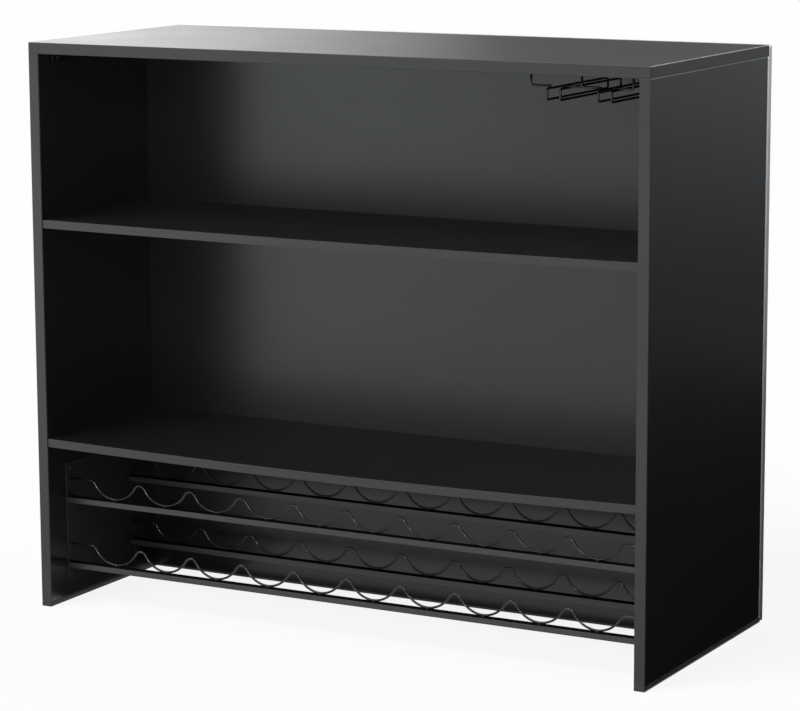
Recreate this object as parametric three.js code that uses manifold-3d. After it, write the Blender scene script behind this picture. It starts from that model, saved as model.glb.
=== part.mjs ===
// A free-standing bar counter: boards, two shelves, a two-tier cradle rack and a hanging stem rack.
// Millimetres, +Z up. The origin is on the floor, midway along the width and the depth.
// -Y is the open service side and +Y is the guests' side.

import * as THREE from 'three';
import { mergeVertices } from 'three/addons/utils/BufferGeometryUtils.js';
import Module from 'manifold-3d';

const wasm = await Module();
wasm.setup();

// Overall sizes
const WIDTH = 1200;
const HEIGHT = 1025;
const WORKTOP_DEPTH = 500;

// Boards
const WORKTOP_THICKNESS = 20;
const SIDE_THICKNESS = 20;
const SHELF_THICKNESS = 15;
const BACK_THICKNESS = 15;
const BAR_FRONT_THICKNESS = 12;
const UPPER_SHELF_TOP = 710;
const LOWER_SHELF_TOP = 312;
const SHELF_SETBACK = 2;
const BACK_SETBACK = 345;
const FLOOR_GAP = 2;

// Edge bands and strips
const EDGE_BAND = 2;
const SHELF_BAND = 1;
const BAR_FRONT_BAND = 2;
const BASE_STRIP_HEIGHT = 9;
const SPACER_DEPTH = 6;

// Cradle rack
const PLATE_THICKNESS = 2;
const PLATE_SETBACK = 54;
const PLATE_DEPTH = 230;
const PLATE_BOTTOM = 38;
const PLATE_HEIGHT = 220;
const RAIL_HEIGHT = 10;
const RAIL_DEPTH = 18;
const RAIL_WALL = 1.5;
const RAIL_SETBACK = 55;
const RAIL_SPAN = 202;
const LOWER_RAIL_TOP = 72;
const TIER_HEIGHT = 122;
const WAVE_WIRE = 4;
const WAVE_FROM_RAIL_FRONT = 13;
const WAVE_TROUGHS = 10;
const WAVE_HEIGHT = 31;
const WAVE_PEAK_RADIUS = 12;
const WAVE_END_RUN = 43;

// Stem rack, under the worktop at the right-hand end
const STEM_WIRE = 4;
const STEM_SLOTS = 2;
const STEM_SLOT_PITCH = 92;
const STEM_SLOT_WIDTH = 24;
const STEM_SLOT_FROM_SIDE = 88;
const STEM_RAIL_SETBACK = 60;
const STEM_RAIL_LENGTH = 240;
const STEM_RAIL_DROP = 28;
const STEM_RAIL_HEIGHT = 18;
const STEM_BEND = 5;
const STEM_HANGER_INSET = 12;
const STEM_STRIP_WIDTH = 14;
const STEM_STRIP_THICKNESS = 2;
const STEM_STRIP_OVERHANG = 15;

// Corner brackets between the sides and the worktop
const BRACKET_SETBACK = 43;
const BRACKET_LENGTH = 55;
const BRACKET_LEG = 18;
const BRACKET_SHEET = 2;

// Fasteners
const SCREW_SHANK = 4;
const SCREW_HEAD = 8;
const SCREW_HEAD_HEIGHT = 2.4;
const SCREW_GRIP = 12;
const PLATE_SCREW_INSET = 10;
const CAM_DIAMETER = 15;
const CAM_HEIGHT = 12;
const CAM_FROM_END = 24;
const CAM_FROM_FRONT = 120;
const CAM_SLOT_WIDTH = 2;
const CAM_SLOT_DEPTH = 1.5;
const CAM_BOLT = 6;
const CAM_BOLT_GRIP = 11;
const CAM_BOLT_REACH = 4;

// Clearances
const HOLE_GAP = 0.3;
const SEAT_GAP = 0.3;
const BUTT_GAP = 0.5;
const POINT_GAP = 0.3;

// Facets
const HOLE_SIDES = 12;
const WIRE_SIDES = 6;
const TROUGH_STEPS = 8;
const BEND_STEPS = 4;

// Planes that several pieces share
const DEPTH = WORKTOP_DEPTH + BAR_FRONT_THICKNESS;
const FRONT = -DEPTH / 2;
const CARCASS_REAR = FRONT + WORKTOP_DEPTH;
const UNDERSIDE = HEIGHT - WORKTOP_THICKNESS;
const INNER_X = WIDTH / 2 - SIDE_THICKNESS;
const BACK_FACE = FRONT + BACK_SETBACK;
const PLATE_FACE = INNER_X - PLATE_THICKNESS;
const STEM_RAIL_TOP = UNDERSIDE - STEM_RAIL_DROP;
const SIDES = [['left', -1], ['right', 1]];
const SHELVES = [['upper', UPPER_SHELF_TOP], ['lower', LOWER_SHELF_TOP]];
const TIERS = [['upper', LOWER_RAIL_TOP + TIER_HEIGHT], ['lower', LOWER_RAIL_TOP]];
const ROWS = [['front', FRONT + RAIL_SETBACK], ['rear', FRONT + RAIL_SETBACK + RAIL_SPAN]];

// Finishes
const finish = (color, roughness, metalness) => new THREE.MeshStandardMaterial({ color, roughness, metalness });
const BLACK_BOARD = finish(0x1b1b1c, 0.45, 0);
const BLACK_BAND = finish(0x3a3a3b, 0.4, 0);
const BLACK_PLASTIC = finish(0x222223, 0.5, 0);
const SILVER = finish(0xa3a4a6, 0.35, 0.9);
const BLACK_STEEL = finish(0x1f1f20, 0.4, 0.3);
const BLACK_WIRE = finish(0x1a1a1a, 0.3, 0.3);
const ZINC = finish(0xb4b6b8, 0.35, 0.9);

const counter = new THREE.Group();

/** Adds one named piece to the counter. */
function addPiece(name, geometry, material) {
  const mesh = new THREE.Mesh(geometry, material);
  mesh.name = name;
  counter.add(mesh);
}

/** A box between two opposite corners. */
function boxBetween([x0, y0, z0], [x1, y1, z1]) {
  const box = new THREE.BoxGeometry(Math.abs(x1 - x0), Math.abs(y1 - y0), Math.abs(z1 - z0));
  return box.translate((x0 + x1) / 2, (y0 + y1) / 2, (z0 + z1) / 2);
}

/** A rod whose axis runs from one point to another. */
function rodBetween(from, to, diameter) {
  const start = new THREE.Vector3(...from);
  const along = new THREE.Vector3(...to).sub(start);
  const rod = new THREE.CylinderGeometry(diameter / 2, diameter / 2, along.length(), HOLE_SIDES);
  const turn = new THREE.Quaternion().setFromUnitVectors(new THREE.Vector3(0, 1, 0), along.clone().normalize());
  const middle = start.addScaledVector(along, 0.5);
  return rod.applyQuaternion(turn).translate(middle.x, middle.y, middle.z);
}

/** A closed geometry as a solid that can be joined and cut. */
function toSolid(geometry) {
  const bare = geometry.clone();
  bare.deleteAttribute('normal');
  bare.deleteAttribute('uv');
  const merged = mergeVertices(bare);
  const vertProperties = new Float32Array(merged.attributes.position.array);
  const triVerts = new Uint32Array(merged.index.array);
  return new wasm.Manifold(new wasm.Mesh({ numProp: 3, vertProperties, triVerts }));
}

/** A solid as a geometry again. */
function toGeometry(solid) {
  const { vertProperties, triVerts } = solid.getMesh();
  const geometry = new THREE.BufferGeometry();
  geometry.setAttribute('position', new THREE.BufferAttribute(vertProperties, 3));
  geometry.setIndex(new THREE.BufferAttribute(triVerts, 1));
  geometry.computeVertexNormals();
  return geometry;
}

/** A body with each cutter taken out of it. */
function cut(body, cutters) {
  return toGeometry(cutters.reduce((solid, cutter) => solid.subtract(toSolid(cutter)), toSolid(body)));
}

/** Several overlapping bodies joined into one. */
function join(bodies) {
  return toGeometry(bodies.map(toSolid).reduce((whole, solid) => whole.add(solid)));
}

/** A wire's centre line, which passes through each of its points. */
class WirePath extends THREE.Curve {
  constructor(points) {
    super();
    this.points = points;
  }

  getPointAt(u) {
    return this.points[Math.round(u * (this.points.length - 1))].clone();
  }

  getTangentAt(u) {
    const last = this.points.length - 1;
    const here = Math.round(u * last);
    const before = this.points[Math.max(here - 1, 0)];
    const after = this.points[Math.min(here + 1, last)];
    return after.clone().sub(before).normalize();
  }
}

/** Points along straight runs between corners, with a round bend of its own radius and steps at each corner. */
function roundedRoute(ends, corners) {
  const route = [ends[0]];
  corners.forEach(({ at, radius, steps }, i) => {
    const before = i > 0 ? corners[i - 1].at : ends[0];
    const after = i < corners.length - 1 ? corners[i + 1].at : ends[1];
    const inward = before.clone().sub(at).normalize();
    const outward = after.clone().sub(at).normalize();
    const halfAngle = inward.angleTo(outward) / 2;
    const bisector = inward.clone().add(outward).normalize();
    const centre = at.clone().addScaledVector(bisector, radius / Math.sin(halfAngle));
    const start = at.clone().addScaledVector(inward, radius / Math.tan(halfAngle)).sub(centre);
    const axis = inward.clone().cross(outward).normalize();
    const sweep = 2 * halfAngle - Math.PI;
    for (let step = 0; step <= steps; step += 1) {
      route.push(start.clone().applyAxisAngle(axis, sweep * step / steps).add(centre));
    }
  });
  route.push(ends[1]);
  return route.filter((point, i) => i === 0 || point.distanceTo(route[i - 1]) > POINT_GAP);
}

/** A wire of round section along a route. */
function wire(route, diameter) {
  const section = new THREE.Shape();
  for (let i = 0; i < WIRE_SIDES; i += 1) {
    const angle = 2 * Math.PI * i / WIRE_SIDES;
    const corner = [Math.cos(angle) * diameter / 2, Math.sin(angle) * diameter / 2];
    if (i === 0) {
      section.moveTo(...corner);
    } else {
      section.lineTo(...corner);
    }
  }
  return new THREE.ExtrudeGeometry(section, { steps: route.length - 1, extrudePath: new WirePath(route) });
}

/** A pan-head screw: its head seats at a point and its shank runs from there along a direction. */
function screw(seat, direction) {
  const profile = [
    [0, SCREW_GRIP],
    [SCREW_SHANK / 2, SCREW_GRIP - SCREW_SHANK / 2],
    [SCREW_SHANK / 2, 0],
    [SCREW_HEAD / 2, 0],
    [SCREW_HEAD / 2, -SCREW_HEAD_HEIGHT / 2],
    [SCREW_HEAD / 4, -SCREW_HEAD_HEIGHT],
    [0, -SCREW_HEAD_HEIGHT],
  ].map(([radius, along]) => new THREE.Vector2(radius, along)).reverse();
  const turn = new THREE.Quaternion().setFromUnitVectors(new THREE.Vector3(0, 1, 0), direction);
  return new THREE.LatheGeometry(profile, HOLE_SIDES).applyQuaternion(turn).translate(seat.x, seat.y, seat.z);
}

/** The bore that a screw's shank runs in, from a little in front of its seat to past its tip. */
function screwBore(seat, direction) {
  const mouth = seat.clone().addScaledVector(direction, -SCREW_HEAD_HEIGHT);
  const floor = seat.clone().addScaledVector(direction, SCREW_GRIP + HOLE_GAP);
  return rodBetween(mouth.toArray(), floor.toArray(), SCREW_SHANK + 2 * HOLE_GAP);
}

// Where the screws sit

const LEFTWARDS = new THREE.Vector3(-1, 0, 0);
const UPWARDS = new THREE.Vector3(0, 0, 1);

/** The four screws of one rack plate. */
function plateScrews(sign) {
  const fromFront = [PLATE_SETBACK + PLATE_SCREW_INSET, PLATE_SETBACK + PLATE_DEPTH - PLATE_SCREW_INSET];
  const heights = [PLATE_BOTTOM + PLATE_SCREW_INSET, PLATE_BOTTOM + PLATE_HEIGHT - PLATE_SCREW_INSET];
  const direction = LEFTWARDS.clone().multiplyScalar(-sign);
  return fromFront.flatMap((setback) => heights.map((height) => (
    { seat: new THREE.Vector3(sign * PLATE_FACE, FRONT + setback, height), direction }
  )));
}

/** The two screws of one corner bracket: one into the side and one up into the worktop. */
function bracketScrews(sign) {
  const y = FRONT + BRACKET_SETBACK + BRACKET_LENGTH / 2;
  const middle = (BRACKET_LEG + BRACKET_SHEET) / 2;
  const side = new THREE.Vector3(sign * (INNER_X - BRACKET_SHEET), y - BRACKET_LENGTH / 4, UNDERSIDE - middle);
  const top = new THREE.Vector3(sign * (INNER_X - middle), y + BRACKET_LENGTH / 4, UNDERSIDE - BRACKET_SHEET);
  return [
    { seat: side, direction: LEFTWARDS.clone().multiplyScalar(-sign) },
    { seat: top, direction: UPWARDS },
  ];
}

const STEM_LAST_SLOT_X = INNER_X - STEM_SLOT_FROM_SIDE;
const STEM_SLOT_CENTRES = Array.from(
  { length: STEM_SLOTS },
  (_, i) => STEM_LAST_SLOT_X - (STEM_SLOTS - 1 - i) * STEM_SLOT_PITCH,
);
const STEM_HANGER_ROWS = [
  ['front', FRONT + STEM_RAIL_SETBACK + STEM_HANGER_INSET],
  ['rear', FRONT + STEM_RAIL_SETBACK + STEM_RAIL_LENGTH - STEM_HANGER_INSET],
];

/** The screws of one stem rack hanger, one above each slot. */
function hangerScrews(y) {
  return STEM_SLOT_CENTRES.map((x) => (
    { seat: new THREE.Vector3(x, y, UNDERSIDE - STEM_STRIP_THICKNESS), direction: UPWARDS }
  ));
}

/** The bore of the cam bolt of one shelf end, in the side and in the shelf. */
function camBoltBore(sign, top) {
  const y = FRONT + CAM_FROM_FRONT;
  const z = top - SHELF_THICKNESS / 2;
  const inSide = sign * (INNER_X + CAM_BOLT_GRIP + HOLE_GAP);
  const atCam = sign * (INNER_X - CAM_FROM_END);
  return rodBetween([inSide, y, z], [atCam, y, z], CAM_BOLT + 2 * HOLE_GAP);
}

const boreOf = ({ seat, direction }) => screwBore(seat, direction);

// Boards

/** The worktop and the band round its front and ends. */
function addWorktop() {
  const outer = WIDTH / 2;
  const inner = outer - EDGE_BAND;
  const bores = [
    ...SIDES.map(([, sign]) => boreOf(bracketScrews(sign)[1])),
    ...STEM_HANGER_ROWS.flatMap(([, y]) => hangerScrews(y).map(boreOf)),
  ];
  const board = boxBetween([-inner, FRONT + EDGE_BAND, UNDERSIDE], [inner, CARCASS_REAR, HEIGHT]);
  addPiece('worktop', cut(board, bores), BLACK_BOARD);
  const outline = new THREE.Shape();
  outline.moveTo(-outer, CARCASS_REAR);
  outline.lineTo(-outer, FRONT);
  outline.lineTo(outer, FRONT);
  outline.lineTo(outer, CARCASS_REAR);
  outline.lineTo(inner, CARCASS_REAR);
  outline.lineTo(inner, FRONT + EDGE_BAND);
  outline.lineTo(-inner, FRONT + EDGE_BAND);
  outline.lineTo(-inner, CARCASS_REAR);
  const band = new THREE.ExtrudeGeometry(outline, { depth: WORKTOP_THICKNESS, bevelEnabled: false });
  addPiece('worktop_edge_band', band.translate(0, 0, UNDERSIDE), BLACK_BAND);
}

/** Both side panels, each with its front band, base strip and rear spacer. */
function addSides() {
  const rear = CARCASS_REAR - SPACER_DEPTH;
  SIDES.forEach(([hand, sign]) => {
    const inner = sign * INNER_X;
    const outer = sign * WIDTH / 2;
    const bores = [
      ...plateScrews(sign).map(boreOf),
      boreOf(bracketScrews(sign)[0]),
      ...SHELVES.map(([, top]) => camBoltBore(sign, top)),
    ];
    const board = boxBetween([inner, FRONT + EDGE_BAND, BASE_STRIP_HEIGHT], [outer, rear, UNDERSIDE]);
    addPiece(`side_panel_${hand}`, cut(board, bores), BLACK_BOARD);
    const band = boxBetween([inner, FRONT, BASE_STRIP_HEIGHT], [outer, FRONT + EDGE_BAND, UNDERSIDE]);
    addPiece(`side_edge_band_${hand}`, band, BLACK_BAND);
    const base = boxBetween([inner, FRONT, 0], [outer, CARCASS_REAR, BASE_STRIP_HEIGHT]);
    addPiece(`base_strip_${hand}`, base, BLACK_PLASTIC);
    const spacer = boxBetween([inner, rear, BASE_STRIP_HEIGHT], [outer, CARCASS_REAR, UNDERSIDE]);
    addPiece(`spacer_strip_${hand}`, spacer, SILVER);
  });
}

/** The recessed back panel. */
function addBackPanel() {
  const panel = boxBetween([-INNER_X, BACK_FACE, FLOOR_GAP], [INNER_X, BACK_FACE + BACK_THICKNESS, UNDERSIDE]);
  addPiece('back_panel', panel, BLACK_BOARD);
}

/** The panel on the guests' side, with a bright band round its ends and top. */
function addBarFront() {
  const outer = WIDTH / 2;
  const inner = outer - BAR_FRONT_BAND;
  const low = [-inner, CARCASS_REAR, FLOOR_GAP];
  const high = [inner, CARCASS_REAR + BAR_FRONT_THICKNESS, HEIGHT - BAR_FRONT_BAND];
  addPiece('bar_front_panel', boxBetween(low, high), BLACK_BOARD);
  const outline = new THREE.Shape();
  outline.moveTo(-outer, FLOOR_GAP);
  outline.lineTo(-inner, FLOOR_GAP);
  outline.lineTo(-inner, HEIGHT - BAR_FRONT_BAND);
  outline.lineTo(inner, HEIGHT - BAR_FRONT_BAND);
  outline.lineTo(inner, FLOOR_GAP);
  outline.lineTo(outer, FLOOR_GAP);
  outline.lineTo(outer, HEIGHT);
  outline.lineTo(-outer, HEIGHT);
  const band = new THREE.ExtrudeGeometry(outline, { depth: BAR_FRONT_THICKNESS, bevelEnabled: false });
  band.rotateX(Math.PI / 2);
  addPiece('bar_front_edge_band', band.translate(0, CARCASS_REAR + BAR_FRONT_THICKNESS, 0), SILVER);
}

/** Both shelves, each with its front band and the cam that pulls it to the side at either end. */
function addShelves() {
  const front = FRONT + SHELF_SETBACK;
  const camY = FRONT + CAM_FROM_FRONT;
  SHELVES.forEach(([level, top]) => {
    const bottom = top - SHELF_THICKNESS;
    const axisZ = top - SHELF_THICKNESS / 2;
    const cutters = [];
    SIDES.forEach(([hand, sign]) => {
      const camX = sign * (INNER_X - CAM_FROM_END);
      const boltTip = sign * (INNER_X - CAM_FROM_END + CAM_DIAMETER / 2 - CAM_BOLT_REACH);
      const pocket = [[camX, camY, bottom - HOLE_GAP], [camX, camY, bottom + CAM_HEIGHT + HOLE_GAP]];
      cutters.push(rodBetween(...pocket, CAM_DIAMETER + 2 * HOLE_GAP));
      cutters.push(camBoltBore(sign, top));
      const disc = rodBetween([camX, camY, bottom], [camX, camY, bottom + CAM_HEIGHT], CAM_DIAMETER);
      const across = CAM_DIAMETER / 2;
      const drive = boxBetween(
        [camX - across, camY - CAM_SLOT_WIDTH / 2, bottom - CAM_SLOT_DEPTH],
        [camX + across, camY + CAM_SLOT_WIDTH / 2, bottom + CAM_SLOT_DEPTH],
      );
      addPiece(`cam_${level}_${hand}`, cut(disc, [camBoltBore(sign, top), drive]), ZINC);
      const bolt = rodBetween([sign * (INNER_X + CAM_BOLT_GRIP), camY, axisZ], [boltTip, camY, axisZ], CAM_BOLT);
      addPiece(`cam_bolt_${level}_${hand}`, bolt, ZINC);
    });
    const board = boxBetween([-INNER_X, front + SHELF_BAND, bottom], [INNER_X, BACK_FACE, top]);
    addPiece(`shelf_${level}`, cut(board, cutters), BLACK_BOARD);
    const band = boxBetween([-INNER_X, front, bottom], [INNER_X, front + SHELF_BAND, top]);
    addPiece(`shelf_edge_band_${level}`, band, BLACK_BAND);
  });
}

/** Corner brackets under the worktop, with their screws. */
function addCornerBrackets() {
  SIDES.forEach(([hand, sign]) => {
    const corner = sign * INNER_X;
    const outline = new THREE.Shape();
    outline.moveTo(corner, UNDERSIDE);
    outline.lineTo(corner - sign * BRACKET_LEG, UNDERSIDE);
    outline.lineTo(corner - sign * BRACKET_LEG, UNDERSIDE - BRACKET_SHEET);
    outline.lineTo(corner - sign * BRACKET_SHEET, UNDERSIDE - BRACKET_SHEET);
    outline.lineTo(corner - sign * BRACKET_SHEET, UNDERSIDE - BRACKET_LEG);
    outline.lineTo(corner, UNDERSIDE - BRACKET_LEG);
    const angle = new THREE.ExtrudeGeometry(outline, { depth: BRACKET_LENGTH, bevelEnabled: false });
    angle.rotateX(Math.PI / 2).translate(0, FRONT + BRACKET_SETBACK + BRACKET_LENGTH, 0);
    const screws = bracketScrews(sign);
    addPiece(`corner_bracket_${hand}`, cut(angle, screws.map(boreOf)), ZINC);
    addPiece(`bracket_side_screw_${hand}`, screw(screws[0].seat, screws[0].direction), ZINC);
    addPiece(`bracket_top_screw_${hand}`, screw(screws[1].seat, screws[1].direction), ZINC);
  });
}

// Cradle rack

/** One wave wire's route: arcs of two radii that meet tangentially, level at both ends. */
function waveRoute(y, railTop) {
  const reach = PLATE_FACE - SEAT_GAP;
  const pitch = 2 * (PLATE_FACE - WAVE_END_RUN) / WAVE_TROUGHS;
  const slope = 2 * Math.atan(WAVE_HEIGHT / (pitch / 2));
  const troughRadius = pitch / 2 / Math.sin(slope) - WAVE_PEAK_RADIUS;
  const overshoot = 1 / Math.cos(slope) - 1;
  const troughZ = railTop + SEAT_GAP + WAVE_WIRE / 2;
  const peakZ = troughZ + WAVE_HEIGHT;
  const corners = [];
  const corner = (x, z, radius, steps) => corners.push({ at: new THREE.Vector3(x, y, z), radius, steps });
  const firstPeak = -pitch * WAVE_TROUGHS / 2;
  const flank = (peakZ - troughZ + troughRadius * overshoot) / Math.tan(slope);
  for (let i = 0; i <= WAVE_TROUGHS; i += 1) {
    const peakX = firstPeak + i * pitch;
    if (i === 0) {
      corner(peakX + pitch / 2 - flank, peakZ, WAVE_PEAK_RADIUS, BEND_STEPS);
    } else if (i === WAVE_TROUGHS) {
      corner(peakX - pitch / 2 + flank, peakZ, WAVE_PEAK_RADIUS, BEND_STEPS);
    } else {
      corner(peakX, peakZ + WAVE_PEAK_RADIUS * overshoot, WAVE_PEAK_RADIUS, BEND_STEPS);
    }
    if (i < WAVE_TROUGHS) {
      corner(peakX + pitch / 2, troughZ - troughRadius * overshoot, troughRadius, TROUGH_STEPS);
    }
  }
  const ends = [new THREE.Vector3(-reach, y, peakZ), new THREE.Vector3(reach, y, peakZ)];
  return roundedRoute(ends, corners);
}

/** The end plates with their screws, the box rails and the wave wires. */
function addCradleRack() {
  SIDES.forEach(([hand, sign]) => {
    const screws = plateScrews(sign);
    const low = [sign * PLATE_FACE, FRONT + PLATE_SETBACK, PLATE_BOTTOM];
    const high = [sign * INNER_X, FRONT + PLATE_SETBACK + PLATE_DEPTH, PLATE_BOTTOM + PLATE_HEIGHT];
    addPiece(`rack_plate_${hand}`, cut(boxBetween(low, high), screws.map(boreOf)), BLACK_STEEL);
    screws.forEach(({ seat, direction }, i) => {
      addPiece(`rack_screw_${hand}_${i + 1}`, screw(seat, direction), BLACK_STEEL);
    });
  });
  TIERS.forEach(([tier, railTop]) => {
    const railBottom = railTop - RAIL_HEIGHT;
    ROWS.forEach(([row, railFront]) => {
      const railRear = railFront + RAIL_DEPTH;
      const tube = boxBetween([-PLATE_FACE, railFront, railBottom], [PLATE_FACE, railRear, railTop]);
      const coreLow = [-WIDTH, railFront + RAIL_WALL, railBottom + RAIL_WALL];
      const coreHigh = [WIDTH, railRear - RAIL_WALL, railTop - RAIL_WALL];
      addPiece(`rack_rail_${tier}_${row}`, cut(tube, [boxBetween(coreLow, coreHigh)]), BLACK_STEEL);
      const route = waveRoute(railFront + WAVE_FROM_RAIL_FRONT, railTop);
      addPiece(`wave_wire_${tier}_${row}`, wire(route, WAVE_WIRE), BLACK_WIRE);
    });
  });
}

// Stem rack

/** One rail: a long loop of wire on edge, butted together at the rear. */
function stemRail(x) {
  const front = FRONT + STEM_RAIL_SETBACK + STEM_WIRE / 2;
  const rear = FRONT + STEM_RAIL_SETBACK + STEM_RAIL_LENGTH - STEM_WIRE / 2;
  const top = STEM_RAIL_TOP;
  const bottom = STEM_RAIL_TOP - STEM_RAIL_HEIGHT;
  const middle = (top + bottom) / 2;
  const corners = [[rear, top], [front, top], [front, bottom], [rear, bottom]].map(([y, z]) => (
    { at: new THREE.Vector3(x, y, z), radius: STEM_BEND, steps: BEND_STEPS }
  ));
  const ends = [middle + BUTT_GAP / 2, middle - BUTT_GAP / 2].map((z) => new THREE.Vector3(x, rear, z));
  return wire(roundedRoute(ends, corners), STEM_WIRE);
}

/** One hanger: a strip on the worktop's underside with a bent wire down to each rail. */
function stemHanger(y) {
  const armZ = STEM_RAIL_TOP + STEM_WIRE + SEAT_GAP;
  const rootZ = UNDERSIDE - STEM_STRIP_THICKNESS / 2;
  const first = STEM_SLOT_CENTRES[0] - STEM_SLOT_PITCH / 2;
  const last = STEM_SLOT_CENTRES[STEM_SLOTS - 1] + STEM_SLOT_PITCH / 2;
  const strip = boxBetween(
    [first - STEM_STRIP_OVERHANG, y - STEM_STRIP_WIDTH / 2, UNDERSIDE - STEM_STRIP_THICKNESS],
    [last + STEM_STRIP_OVERHANG, y + STEM_STRIP_WIDTH / 2, UNDERSIDE],
  );
  const bodies = [strip];
  STEM_SLOT_CENTRES.forEach((slotX) => {
    [-1, 1].forEach((sign) => {
      const dropX = slotX + sign * STEM_SLOT_PITCH / 2;
      const tipX = slotX + sign * (STEM_SLOT_WIDTH - STEM_WIRE) / 2;
      const ends = [new THREE.Vector3(dropX, y, rootZ), new THREE.Vector3(tipX, y, armZ)];
      const corner = { at: new THREE.Vector3(dropX, y, armZ), radius: STEM_BEND, steps: BEND_STEPS };
      bodies.push(wire(roundedRoute(ends, [corner]), STEM_WIRE));
    });
  });
  return cut(join(bodies), hangerScrews(y).map(boreOf));
}

/** Rails in pairs, one pair to a slot, and a hanger near either end of them. */
function addStemRack() {
  STEM_SLOT_CENTRES.forEach((slotX, i) => {
    addPiece(`stem_rail_${2 * i + 1}`, stemRail(slotX - STEM_SLOT_WIDTH / 2), BLACK_WIRE);
    addPiece(`stem_rail_${2 * i + 2}`, stemRail(slotX + STEM_SLOT_WIDTH / 2), BLACK_WIRE);
  });
  STEM_HANGER_ROWS.forEach(([row, y]) => {
    addPiece(`stem_hanger_${row}`, stemHanger(y), BLACK_WIRE);
    hangerScrews(y).forEach(({ seat, direction }, i) => {
      addPiece(`stem_screw_${row}_${i + 1}`, screw(seat, direction), BLACK_STEEL);
    });
  });
}

addWorktop();
addSides();
addBackPanel();
addBarFront();
addShelves();
addCornerBrackets();
addCradleRack();
addStemRack();

export default counter;
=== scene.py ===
"""Dresses the bar counter: boards, bands, rails and wires, their finishes, the studio and the camera.

Metres, +Z up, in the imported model's frame. -Y is the open service side and +Y is the guests' side.
"""

import logging
import math
from dataclasses import dataclass, field
from enum import Enum

import bpy
import numpy as np
from mathutils import Matrix, Vector


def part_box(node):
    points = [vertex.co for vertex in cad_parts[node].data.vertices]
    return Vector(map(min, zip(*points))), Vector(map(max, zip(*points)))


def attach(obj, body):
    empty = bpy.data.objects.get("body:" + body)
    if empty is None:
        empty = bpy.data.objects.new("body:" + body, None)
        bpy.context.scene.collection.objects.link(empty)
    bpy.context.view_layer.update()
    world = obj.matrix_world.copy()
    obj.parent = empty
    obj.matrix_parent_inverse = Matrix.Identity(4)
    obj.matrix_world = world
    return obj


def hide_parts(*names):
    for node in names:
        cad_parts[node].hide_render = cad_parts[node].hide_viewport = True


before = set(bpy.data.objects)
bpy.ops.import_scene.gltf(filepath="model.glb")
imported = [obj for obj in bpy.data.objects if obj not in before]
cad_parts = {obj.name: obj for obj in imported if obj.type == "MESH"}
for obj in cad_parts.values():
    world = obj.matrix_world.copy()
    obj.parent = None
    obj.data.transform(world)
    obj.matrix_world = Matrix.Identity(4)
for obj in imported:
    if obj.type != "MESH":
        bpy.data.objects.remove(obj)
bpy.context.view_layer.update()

LOG = logging.getLogger("bar_counter")
BODY = "root"
MM = 0.001

Colour = tuple[float, float, float]
Point = tuple[float, float, float]
WHITE: Colour = (1.0, 1.0, 1.0)
COOL_WHITE: Colour = (0.90, 0.955, 1.0)
NOISE_MIDDLE: tuple[float, float] = (0.3, 0.7)


class Axis(Enum):
    """A direction of the frame, by its column number."""

    X = 0
    Y = 1
    Z = 2


class Slot(Enum):
    """The material slots, by name."""

    BOARD = "black_board"
    EDGE = "black_edge"
    BASE = "base_plastic"
    SILVER = "silver_trim"
    STEEL = "rack_steel"
    WIRE = "black_wire"
    ZINC = "zinc"


HANDS: dict[str, int] = {"left": -1, "right": 1}
TIERS: tuple[str, str] = ("upper", "lower")
ROWS: tuple[str, str] = ("front", "rear")


# Surfaces


@dataclass
class Surface:
    """Corner points, four-cornered faces and end faces of a piece in the making."""

    points: np.ndarray
    quads: np.ndarray
    ends: list[np.ndarray] = field(default_factory=list)

    @staticmethod
    def joined(parts: "list[Surface]") -> "Surface":
        """Several surfaces as one.

        Args:
            parts: the surfaces, which keep their places.

        Returns:
            One surface that holds them all.
        """
        starts = np.cumsum([0] + [len(part.points) for part in parts[:-1]])
        return Surface(
            np.concatenate([part.points for part in parts]),
            np.concatenate([part.quads + start for part, start in zip(parts, starts)]),
            [end + start for part, start in zip(parts, starts) for end in part.ends],
        )

    def to_object(self, name: str) -> bpy.types.Object:
        """The surface as a smooth-shaded mesh object in the scene.

        Args:
            name: the object's name.

        Returns:
            The new object, at the origin.
        """
        mesh = bpy.data.meshes.new(name)
        faces = self.quads.tolist() + [end.tolist() for end in self.ends]
        mesh.from_pydata(self.points.tolist(), [], faces)
        mesh.polygons.foreach_set("use_smooth", np.ones(len(mesh.polygons), dtype=bool))
        mesh.update()
        piece = bpy.data.objects.new(name, mesh)
        bpy.context.scene.collection.objects.link(piece)
        return piece


def closed_grid(points: np.ndarray) -> Surface:
    """A grid of rows of points, each row closed on itself, with an end face on the first and the last row.

    Face (i, j) joins points (i, j), (i, j + 1), (i + 1, j + 1) and (i + 1, j), with j counted round the row.

    Args:
        points: an array of rows by columns by 3.

    Returns:
        The closed surface.
    """
    rows, columns = points.shape[:2]
    i, j = np.meshgrid(np.arange(rows - 1), np.arange(columns), indexing="ij")
    k = (j + 1) % columns
    quads = np.stack([i * columns + j, i * columns + k, (i + 1) * columns + k, (i + 1) * columns + j], axis=-1)
    ring = np.arange(columns)
    return Surface(points.reshape(-1, 3), quads.reshape(-1, 4), [ring[::-1], ring + (rows - 1) * columns])


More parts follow.
